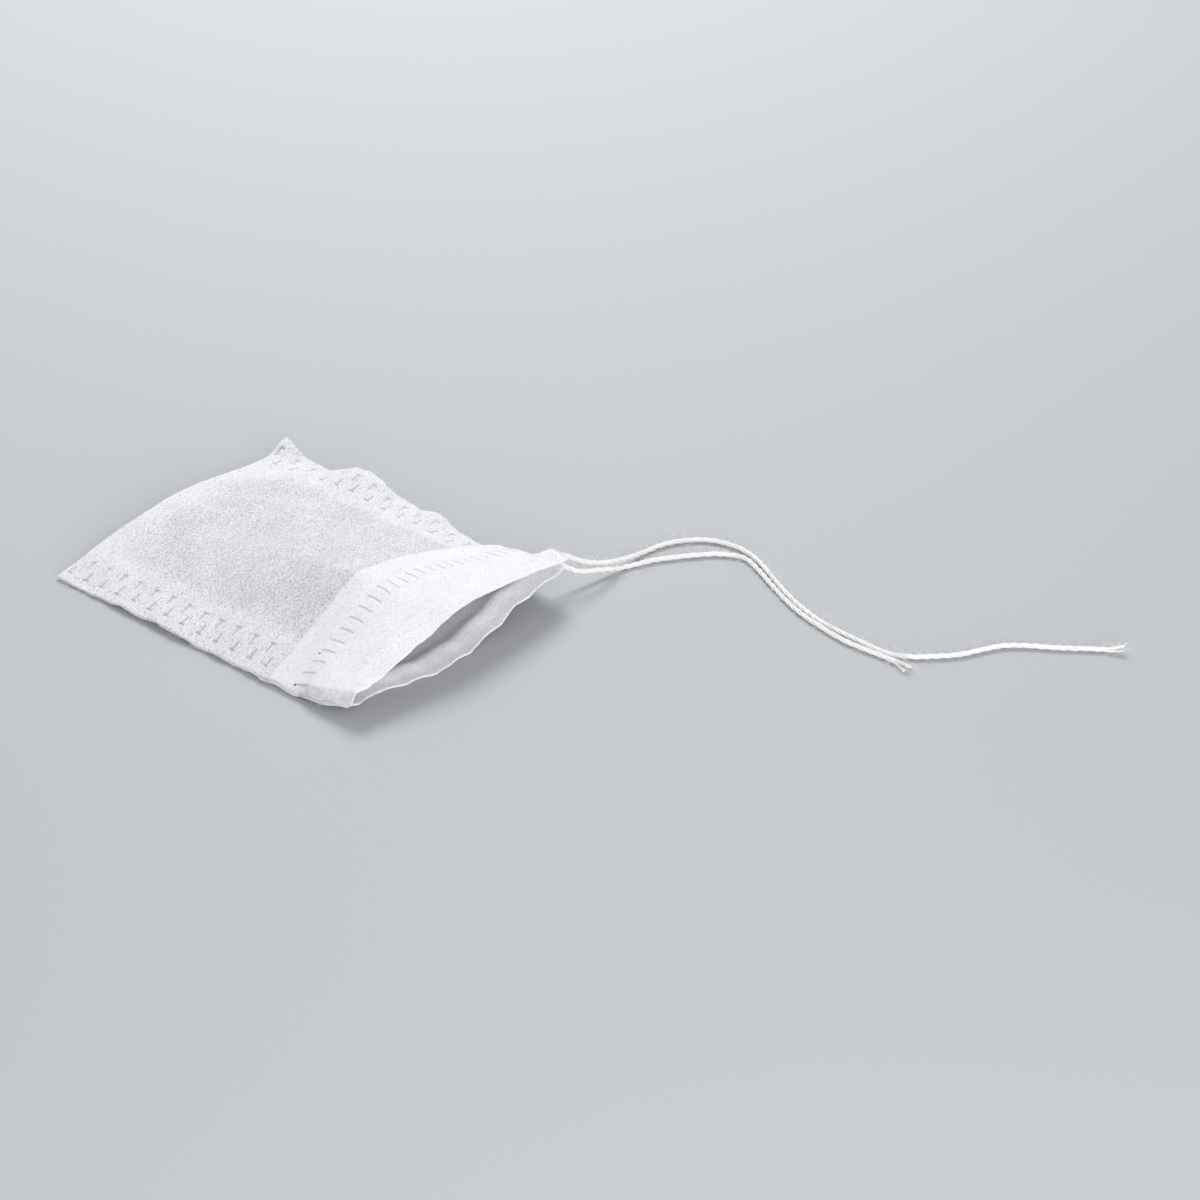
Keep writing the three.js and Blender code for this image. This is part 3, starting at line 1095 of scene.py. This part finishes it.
class Thread:
    """Meshes of threads and hairs from their centre lines."""

    FLOOR = 0.02 * MM
    HAIR_RADIUS = 0.015 * MM
    HAIR_RING = 0
    DENSER = 4

    @staticmethod
    def spline(points: list[Vector], step: float) -> list[Vector]:
        """Smooth line through points.

        Args:
            points: Places to pass through.
            step: Distance between the points returned.

        Returns:
            Evenly spaced points.
        """
        dense = []
        for i in range(len(points) - 1):
            count = max(2, round((points[i + 1] - points[i]).length / step * Thread.DENSER))
            for j in range(count):
                share = (i + j / count) / (len(points) - 1)
                dense.append(Vector([run([p[k] for p in points], share) for k in range(3)]))
        dense.append(points[-1].copy())
        total = sum((b - a).length for a, b in zip(dense, dense[1:]))
        count = max(2, round(total / step))
        even, walked, goal = [dense[0]], 0.0, total / count
        for a, b in zip(dense, dense[1:]):
            length = (b - a).length
            while walked + length >= goal * len(even) and len(even) < count:
                even.append(a.lerp(b, (goal * len(even) - walked) / length if length else 0.0))
            walked += length
        even.append(dense[-1])
        return even

    @staticmethod
    def frames(line: list[Vector]) -> list[tuple[Vector, Vector, Vector]]:
        """Directions along a line, carried on without twist.

        Args:
            line: Centre line.

        Returns:
            The tangent and two normals at each point.
        """
        result = []
        normal = Vector((0, 0, 1))
        for i, _ in enumerate(line):
            tangent = (line[min(i + 1, len(line) - 1)] - line[max(i - 1, 0)]).normalized()
            normal = (normal - tangent * normal.dot(tangent)).normalized()
            result.append((tangent, normal, tangent.cross(normal)))
        return result

    @staticmethod
    def mesh(name: str, lines: list[list[Vector]], radius: float, ring: int,
             material: bpy.types.Material) -> bpy.types.Object:
        """Round threads along lines, as one mesh.

        Args:
            name: Name of the piece.
            lines: Centre lines.
            radius: Radius of each thread.
            ring: Curve resolution of the round.
            material: Finish.

        Returns:
            The mesh object.
        """
        curve = bpy.data.curves.new(name + "_line", "CURVE")
        curve.dimensions = "3D"
        curve.bevel_depth = radius
        curve.bevel_resolution = ring
        curve.use_fill_caps = True
        for line in lines:
            spline = curve.splines.new("POLY")
            spline.points.add(len(line) - 1)
            for point, place in zip(spline.points, line):
                point.co = (*place, 1.0)
        helper = put(name + "_line", curve)
        bpy.context.view_layer.update()
        mesh = bpy.data.meshes.new_from_object(helper.evaluated_get(bpy.context.evaluated_depsgraph_get()))
        bpy.data.objects.remove(helper)
        bpy.data.curves.remove(curve)
        bm = bmesh.new()
        bm.from_mesh(mesh)
        for face in bm.faces:
            face.smooth = True
        bm.to_mesh(mesh)
        bm.free()
        mesh.name = name
        mesh.materials.clear()
        mesh.materials.append(material)
        return put(name, mesh)

    @staticmethod
    def hairs(name: str, lines: list[list[Vector]], material: bpy.types.Material) -> bpy.types.Object:
        """Fine hairs along lines, kept above the table.

        Args:
            name: Name of the piece.
            lines: Centre lines.
            material: Finish.

        Returns:
            The mesh object.
        """
        for line in lines:
            for point in line:
                point.z = max(point.z, Thread.FLOOR)
        return Thread.mesh(name, lines, Thread.HAIR_RADIUS, Thread.HAIR_RING, material)

    @staticmethod
    def dress(name: str, finish: CottonFinish) -> bpy.types.Material:
        """Makes the material of a thread once.

        Args:
            name: Name of the material.
            finish: Its colours and grain.

        Returns:
            The material.
        """
        known = bpy.data.materials.get(name)
        if known:
            return known
        material, graph, shader = new_material(name)
        size = graph.add("VectorMath", operation="SCALE")
        graph.feed(size.inputs[0], graph.add("TexCoord").outputs["Object"])
        graph.feed(size.inputs["Scale"], finish.grain / MM)
        web = graph.add("Group", node_tree=FibreWeb().build())
        graph.feed(web.inputs["Vector"], size.outputs[0])
        gaps = graph.math("MULTIPLY", web.outputs["Gaps"], finish.gaps)
        clouds = graph.math("MULTIPLY", web.outputs["Clouds"], finish.clouds)
        # Painted shade in the gaps between fibres, mixed with random cloudy tone
        shade = graph.math("ADD", gaps, clouds, clamped=True)
        graph.fill(shader, {
            "Base Color": graph.blend(shade, finish.light, finish.dark),
            "Roughness": finish.roughness,
            "Specular IOR Level": finish.specular,
            "Sheen Weight": finish.sheen,
            "Normal": graph.bump(web.outputs["Fibres"], finish.bump, finish.bump_depth),
        })
        return material


class End(Enum):
    """The two free ends of the string."""

    LONG = "long"
    SHORT = "short"


@dataclass
class Drawstring:
    """The three-ply cotton string: two free ends, and the length inside the hems."""

    form: BagForm
    finish: CottonFinish
    diameter: float = 1.0
    plies: int = 3
    ply_radius: float = 0.235
    lay_radius: float = 0.21
    pitch: float = 5.4
    step: float = 0.22
    ring_seen: int = 2
    ring_hidden: int = 1
    wander: float = 0.035
    wander_scale: float = 0.8
    table_clearance: float = 0.04
    ply_clearance: float = 0.02
    # The frayed end: its length, how soon it untwists, and how far each ply splays
    fray: float = 3.0
    untwist: float = 2.0
    splay: float = 0.85
    splay_power: float = 1.5
    splay_first: float = 0.4
    splay_more: float = 0.35
    # Route: where the ends leave the hems, and their points as offsets from there
    upper_exit: Triple = (32.2, 25.1, 6.13)
    lower_exit: Triple = (31.2, 25.1, 3.34)
    long_end: tuple[Triple, ...] = (
        (2.4, 4.8, -1.6), (3.4, 9.3, -3.3), (3.2, 13.8, -4.7), (3.4, 18.8, -5.6),
        (4.2, 23.1, -5.95), (6, 26.5, -5.95), (8.5, 29.1, -5.95), (11.7, 30.5, -5.95),
        (15.8, 30.8, -5.95), (20.1, 29.6, -5.95), (25.7, 26.7, -5.95), (30.1, 24.4, -5.95),
        (34.4, 22.5, -5.95), (39.9, 20.8, -5.95), (44.1, 20.2, -5.95), (48.9, 19.9, -5.95),
        (53.3, 19.7, -5.95), (56.1, 20.1, -5.95), (58.4, 21.4, -5.95), (60.6, 23.3, -5.95),
        (64, 27, -5.95), (66.2, 31, -5.95), (68, 34.1, -5.95), (71.1, 36.8, -5.95),
        (75.2, 39.5, -5.95), (79.1, 42.5, -5.95), (81.8, 44.4, -5.95), (83.5, 46.2, -5.95))
    short_end: tuple[Triple, ...] = (
        (2, 3.9, -0.7), (3.4, 7.8, -1.8), (5.2, 13, -2.9), (7, 17.2, -3.35),
        (8.9, 20.3, -3.35), (12.1, 24.4, -3.35), (14.5, 26.9, -3.35), (17.6, 28.6, -3.35),
        (19.8, 28.6, -3.35), (23.1, 27.2, -3.35), (28.4, 24.5, -3.35), (33.2, 22.2, -3.35),
        (37.7, 20.5, -3.35), (43.1, 19.2, -3.35), (48, 18.4, -3.35), (52, 18.4, -3.35),
        (55.8, 18.6, -3.35), (58.7, 18.6, -3.35), (61.1, 18.2, -3.35))
    # Inside the hems: distance from the lip, shares of the width, and how far the turn reaches to the front
    free_from_lip: float = 3.4
    free_start: float = 0.965
    hem_from_lip: float = 3.6
    hem_front: float = 0.16
    hem_back: float = 0.96
    hem_steps: int = 12
    turn_reach: float = 2.0
    # Hairs along the string, and the tuft at its far end
    fuzz_seeds: tuple[int, int] = (7, 19)
    hairs_per_step: float = 2.4
    hairs_from: int = 10
    hair_root: float = 0.36
    hair_reach: float = 0.2
    hair_reach_more: float = 1.6
    hair_reach_power: int = 3
    hair_lean: float = 1.2
    hair_swing: float = 0.8
    hair_bends: tuple[Pair, ...] = ((0.5, 0.35), (0.8, 0.8), (0.95, 1.3))
    tuft: int = 140
    tuft_spread: float = 5.0
    tuft_root: Pair = (0.1, 0.6)
    tuft_reach: Pair = (0.3, 0.9)
    tuft_lean: float = 2.0

    def exit(self, end: End) -> Vector:
        """Point where a free end leaves its hem."""
        place = self.upper_exit if end is End.LONG else self.lower_exit
        return Vector(place) * MM

    def in_hem(self, layer: Layer, v: float, from_lip: float) -> Vector:
        """Point of the string inside a hem.

        Args:
            layer: Outer ply of the hem.
            v: Share of the width, from the front edge to the back.
            from_lip: Distance from the lip.

        Returns:
            The point midway between the hem's plies.
        """
        x = self.form.length - from_lip
        turn_in = Layer.UPPER_TURN_IN if layer is Layer.UPPER else Layer.LOWER_TURN_IN
        return (self.form.point(layer, x, v) + self.form.point(turn_in, x, v)) / 2

    def free_line(self, end: End) -> list[Vector]:
        """Centre line of a free end, from just inside the hem.

        Args:
            end: Which end.

        Returns:
            Evenly spaced points.
        """
        long = end is End.LONG
        layer = Layer.UPPER if long else Layer.LOWER
        points = [self.in_hem(layer, v, self.free_from_lip) for v in (self.free_start, 1.0)]
        for offset in self.long_end if long else self.short_end:
            place = self.exit(end) + Vector(offset) * MM
            place.z = max(place.z, (self.diameter / 2 + self.table_clearance) * MM)
            points.append(place)
        return Thread.spline(points, self.step * MM)

    def hem_line(self) -> list[Vector]:
        """Centre line of the string inside both hems, round the front corner.

        Returns:
            Evenly spaced points.
        """
        shares = [mix(self.hem_front, self.hem_back, i / self.hem_steps) for i in range(self.hem_steps + 1)]
        upper = [self.in_hem(Layer.UPPER, v, self.hem_from_lip) for v in reversed(shares)]
        lower = [self.in_hem(Layer.LOWER, v, self.hem_from_lip) for v in shares]
        turn = (upper[-1] + lower[0]) / 2 - Vector((0, self.turn_reach, 0)) * MM
        return Thread.spline([*upper, turn, *lower], self.step * 2 * MM)

    def strands(self, line: list[Vector], frayed: bool) -> list[list[Vector]]:
        """Lines of the plies twisted round a centre line.

        Args:
            line: Centre line.
            frayed: Whether the last few millimetres come apart.

        Returns:
            One line to each ply.
        """
        space = (line[1] - line[0]).length
        turns = 2 * math.pi * space / (self.pitch * MM)
        result: list[list[Vector]] = [[] for _ in range(self.plies)]
        angle = 0.0
        for i, (place, (_, normal, side)) in enumerate(zip(line, Thread.frames(line))):
            left = (len(line) - 1 - i) * space / MM
            loose = clamp(1.0 - left / self.fray) if frayed else 0.0
            angle += turns * (1.0 - ease(loose * self.untwist))
            wander = self.wander * noise.noise(place / MM * self.wander_scale)
            for k in range(self.plies):
                turn = angle + 2 * math.pi * k / self.plies
                apart = loose ** self.splay_power * self.splay * (self.splay_first + self.splay_more * k)
                reach = (self.lay_radius + wander + apart) * MM
                spot = place + (normal * math.cos(turn) + side * math.sin(turn)) * reach
                spot.z = max(spot.z, (self.ply_radius + self.ply_clearance) * MM)
                result[k].append(spot)
        return result

    def fuzz(self, line: list[Vector], seed: int) -> list[list[Vector]]:
        """Hairs along a centre line, with a tuft at its far end.

        Args:
            line: Centre line.
            seed: Seed of the random draws.

        Returns:
            Lines of the hairs.
        """
        dice = random.Random(seed)
        frames = Thread.frames(line)
        hairs = []
        for _ in range(int(len(line) * self.hairs_per_step)):
            i = dice.randrange(self.hairs_from, len(line) - 1)
            reach = self.hair_reach + dice.random() ** self.hair_reach_power * self.hair_reach_more
            hairs.append(self.hair(dice, line[i], frames[i], self.hair_root, reach, self.hair_lean))
        for _ in range(self.tuft):
            i = len(line) - 1 - int(abs(dice.gauss(0, self.tuft_spread)))
            root, reach = dice.uniform(*self.tuft_root), dice.uniform(*self.tuft_reach)
            hairs.append(self.hair(dice, line[i], frames[i], root, reach, self.tuft_lean))
        return hairs

    def hair(self, dice: random.Random, place: Vector, axes: tuple[Vector, Vector, Vector], start: float,
             reach: float, lean: float) -> list[Vector]:
        """One curved hair that leaves the string.

        Args:
            dice: Source of the random draws.
            place: Point of the centre line.
            axes: Tangent and normals there.
            start: Distance of the root from the centre line.
            reach: How far it stands out.
            lean: How far it leans along the string.

        Returns:
            Points of the hair.
        """
        tangent, normal, side = axes
        turn = dice.uniform(0, 2 * math.pi)
        out = normal * math.cos(turn) + side * math.sin(turn)
        around = side * math.cos(turn) - normal * math.sin(turn)
        swing = self.hair_swing
        drift = tangent * dice.uniform(-lean, lean) + around * dice.uniform(-swing, swing)
        root = place + out * start * MM
        return [root, *(root + (out * away + drift * along) * reach * MM for away, along in self.hair_bends)]

    def build(self, end: End) -> tuple[bpy.types.Object, bpy.types.Object, list[Vector]]:
        """Makes one free end with its fuzz.

        Args:
            end: Which end.

        Returns:
            The cord, its fuzz and its centre line.
        """
        line = self.free_line(end)
        material = Thread.dress("twisted_cotton", self.finish)
        strands = self.strands(line, True)
        cord = Thread.mesh(f"{end.value}_string_end", strands, self.ply_radius * MM, self.ring_seen, material)
        hairs = self.fuzz(line, self.fuzz_seeds[0 if end is End.LONG else 1])
        fuzz = Thread.hairs(f"{end.value}_string_fuzz", hairs, material)
        return cord, fuzz, line

    def build_in_hem(self) -> bpy.types.Object:
        """Makes the length of string inside the hems.

        Returns:
            The mesh object.
        """
        material = Thread.dress("twisted_cotton", self.finish)
        strands = self.strands(self.hem_line(), False)
        return Thread.mesh("string_in_hems", strands, self.ply_radius * MM, self.ring_hidden, material)


@dataclass(frozen=True)
class Lamp:
    """A soft round lamp, with its place and size in metres and its power in watts."""

    name: str
    place: Triple
    size: float
    power: float

    def build(self) -> None:
        """Adds the lamp, pointed at the bag."""
        data = bpy.data.lights.new(self.name, "AREA")
        data.shape = "DISK"
        data.size = self.size
        data.energy = self.power
        aim(put(self.name, data), Vector(self.place), Vector(self.place))


@dataclass
class Studio:
    """Table, light and camera."""

    floor_finish: FloorFinish
    # Camera: the point it looks at and its distance in millimetres, its angles in degrees, and its lens
    target: Triple = (39.74, 27.67, 0.0)
    azimuth: float = 40.725
    elevation: float = 31.0
    distance: float = 557.5
    lens: float = 99.0
    sensor: float = 36.0
    clip: Pair = (0.01, 20.0)
    # Light
    surround: Triple = (0.96, 0.98, 1.0)
    surround_strength: float = 0.54
    lamps: tuple[Lamp, ...] = (
        Lamp("key", (-0.32, 0.38, 0.48), 0.30, 3.9),
        Lamp("fill", (0.46, -0.28, 0.18), 0.45, 2.7),
    )
    # Table top, in metres
    table_half: float = 3.0
    table_cells: int = 8

    def camera(self) -> None:
        """Sets the camera at the photograph's angle."""
        data = bpy.data.cameras.new("camera")
        data.lens = self.lens
        data.sensor_width = self.sensor
        data.clip_start, data.clip_end = self.clip
        a, e = math.radians(self.azimuth), math.radians(self.elevation)
        back = Vector((math.sin(a) * math.cos(e), -math.cos(a) * math.cos(e), math.sin(e)))
        camera = put("camera", data)
        aim(camera, (Vector(self.target) + back * self.distance) * MM, back)
        bpy.context.scene.camera = camera

    def light(self) -> None:
        """Sets a pale even surround and the lamps."""
        world = bpy.data.worlds.new("studio")
        world.use_nodes = True
        shade = world.node_tree.nodes["Background"]
        shade.inputs["Color"].default_value = (*self.surround, 1.0)
        shade.inputs["Strength"].default_value = self.surround_strength
        bpy.context.scene.world = world
        for lamp in self.lamps:
            lamp.build()

    def table(self) -> bpy.types.Object:
        """Makes the table top.

        Returns:
            The mesh object.
        """
        cells = self.table_cells
        bm = bmesh.new()
        bmesh.ops.create_grid(bm, x_segments=cells, y_segments=cells, size=self.table_half)
        mesh = bpy.data.meshes.new("table_top")
        bm.to_mesh(mesh)
        bm.free()
        material, graph, shader = new_material("table_top")
        graph.fill(shader, {
            "Base Color": (*self.floor_finish.colour, 1.0),
            "Roughness": self.floor_finish.roughness,
            "Specular IOR Level": self.floor_finish.specular,
        })
        mesh.materials.append(material)
        return put("table_top", mesh)


def settle(piece: bpy.types.Object, slot: str, *nodes: str) -> None:
    """Rides a piece on the bag's one body and hides the CAD nodes it stands for.

    Args:
        piece: The new piece.
        slot: Material slot of the record; not used.
        nodes: CAD nodes that it replaces.
    """
    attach(piece, BODY)
    if nodes:
        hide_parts(*nodes)
    LOG.info("%s: %d faces", piece.name, len(piece.data.polygons))


def main() -> None:
    """Builds the camera, the string, the bag and the studio."""
    logging.basicConfig(level=logging.INFO, format="%(name)s %(message)s")
    bpy.context.scene.view_settings.view_transform = "Standard"
    studio = Studio(FloorFinish())
    studio.camera()
    form = BagForm()

    string = Drawstring(form, CottonFinish())
    for end in End:
        cord, fuzz, line = string.build(end)
        settle(cord, "cotton_string", "drawstring")
        settle(fuzz, "cotton_string")
    settle(string.build_in_hem(), "cotton_string", "drawstring")

    bag = FilterBag(form, NonwovenFinish())
    sheet = bag.build()
    settle(sheet, "nonwoven_sheet", "filter_bag")
    fibres = bag.loose_fibres()
    settle(fibres, "nonwoven_sheet")

    studio.light()
    studio.table()


if __name__ == "__main__":
    main()
